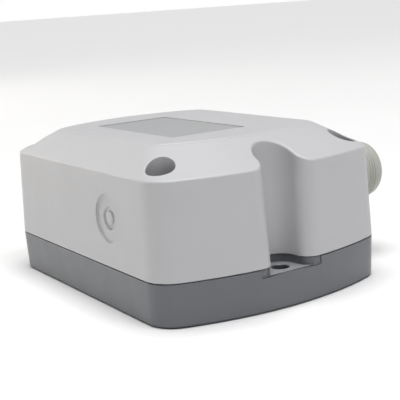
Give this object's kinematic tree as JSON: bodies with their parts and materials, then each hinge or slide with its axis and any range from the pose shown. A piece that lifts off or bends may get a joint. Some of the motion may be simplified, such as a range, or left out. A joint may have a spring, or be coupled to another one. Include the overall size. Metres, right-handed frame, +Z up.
{
  "type": "motorised actuator head",
  "caption": "Enclosed electric actuator head with a geared motor turning a square output socket, limit switches, wiring board and a cable gland.",
  "frame": {"origin": "middle of the enclosure's flat underside, midway between the two fixing holes", "axes": "+Z up out of the mounting surface through the cover, +Y along the long side towards the output, +X towards the cable gland"},
  "size_m": [0.1139, 0.126, 0.0543],
  "materials": {
    "cover_plastic": "fine moulded texture, light grey",
    "base_plastic": "fine moulded texture, dark grey",
    "label_film": "smooth satin film, blank",
    "gland_plastic": "satin nylon, warm light grey",
    "rubber": "matte black",
    "steel": "zinc-plated",
    "brass": "turned",
    "acetal": "natural acetal",
    "cam_red": "moulded red",
    "cam_blue": "moulded blue",
    "switch_black": "moulded black",
    "board_green": "solder resist green",
    "block_green": "moulded green",
    "capacitor_blue": "dipped blue",
    "gearcase_metal": "cast and plated",
    "wire_brown": "brown insulation",
    "wire_blue": "blue insulation",
    "wire_black": "black insulation"
  },
  "bodies": {
    "base": {"base_housing": "base_plastic", "cover_gasket": "rubber", "gear_plate": "steel", "plate_screw_1": "steel", "plate_screw_2": "steel", "plate_screw_3": "steel", "plate_screw_4": "steel", "output_bush": "brass", "plate_bush": "brass", "idler_axle": "steel", "motor_gearcase": "gearcase_metal", "motor_can": "steel", "motor_screw_1": "steel", "motor_screw_2": "steel", "lower_switch": "switch_black", "upper_switch": "switch_black", "switch_screw_1": "steel", "switch_screw_2": "steel", "circuit_board": "board_green", "board_spacer": "brass", "board_screw_1": "steel", "board_screw_2": "steel", "board_screw_3": "steel", "terminal_block": "block_green", "terminal_screw_1": "steel", "terminal_screw_2": "steel", "terminal_screw_3": "steel", "terminal_screw_4": "steel", "capacitor": "capacitor_blue", "board_connector": "acetal", "motor_lead_1": "wire_blue", "motor_lead_2": "wire_brown", "switch_lead_1": "wire_black", "switch_lead_2": "wire_brown"},
    "cover_unit": {"cover": "cover_plastic", "label_panel": "label_film", "cover_screw_1": "steel", "cover_screw_2": "steel", "cover_screw_3": "steel", "cover_screw_4": "steel", "gland_washer": "rubber", "gland_body": "gland_plastic", "gland_locknut": "gland_plastic", "gland_seal": "rubber"},
    "output_train": {"output_shaft": "steel", "output_gear": "acetal", "shaft_oring": "rubber", "lower_cam": "cam_red", "upper_cam": "cam_blue", "cam_washer": "steel", "cam_screw": "steel"},
    "idler": {"idler_gear": "acetal"},
    "motor_rotor": {"motor_shaft": "steel", "motor_pinion": "brass"},
    "lower_lever": {"lower_switch_lever": "steel"},
    "upper_lever": {"upper_switch_lever": "steel"},
    "lower_plunger": {"lower_switch_plunger": "cam_red"},
    "upper_plunger": {"upper_switch_plunger": "cam_red"},
    "dome_nut": {"gland_dome_nut": "gland_plastic"}
  },
  "joints": [
    {"name": "cover_lift", "type": "slide", "parent": "base", "child": "cover_unit", "axis": [0, 0, 1], "range_m": [0, 0.06]},
    {"name": "output_turn", "type": "hinge", "parent": "base", "child": "output_train", "pos_m": [0, 0.02, 0.01], "axis": [0, 0, 1], "range_deg": [0, 90]},
    {"name": "idler_turn", "type": "hinge", "parent": "base", "child": "idler", "pos_m": [0.00151, -0.01041, 0.008], "axis": [0, 0, 1], "range_deg": [-338, 0]},
    {"name": "motor_turn", "type": "hinge", "parent": "base", "child": "motor_rotor", "pos_m": [-0.0205, -0.006, 0.008], "axis": [0, 0, 1], "range_deg": [0, 845]},
    {"name": "lower_lever_press", "type": "hinge", "parent": "base", "child": "lower_lever", "pos_m": [0.014, 0.0036, 0.0223], "axis": [0, 0, -1], "range_deg": [0, 4], "stiffness_Nm_per_rad": 0.004, "springref_deg": -5.73},
    {"name": "upper_lever_press", "type": "hinge", "parent": "base", "child": "upper_lever", "pos_m": [0.014, 0.0036, 0.0288], "axis": [0, 0, -1], "range_deg": [0, 4], "stiffness_Nm_per_rad": 0.004, "springref_deg": -5.73},
    {"name": "lower_plunger_slide", "type": "slide", "parent": "base", "child": "lower_plunger", "axis": [1, 0, 0], "range_m": [0, 0.0004]},
    {"name": "upper_plunger_slide", "type": "slide", "parent": "base", "child": "upper_plunger", "axis": [1, 0, 0], "range_m": [0, 0.0004]},
    {"name": "dome_nut_turn", "type": "hinge", "parent": "cover_unit", "child": "dome_nut", "pos_m": [0.0565, -0.0233, 0.0306], "axis": [1, 0, 0], "range_deg": [0, 360]}
  ],
  "couplings": [
    {"joint": "idler_turn", "follows": "output_turn", "ratio": -3.75},
    {"joint": "motor_turn", "follows": "output_turn", "ratio": 9.375},
    {"joint": "lower_plunger_slide", "follows": "lower_lever_press", "m_per_rad": 0.0054},
    {"joint": "upper_plunger_slide", "follows": "upper_lever_press", "m_per_rad": 0.0054}
  ]
}
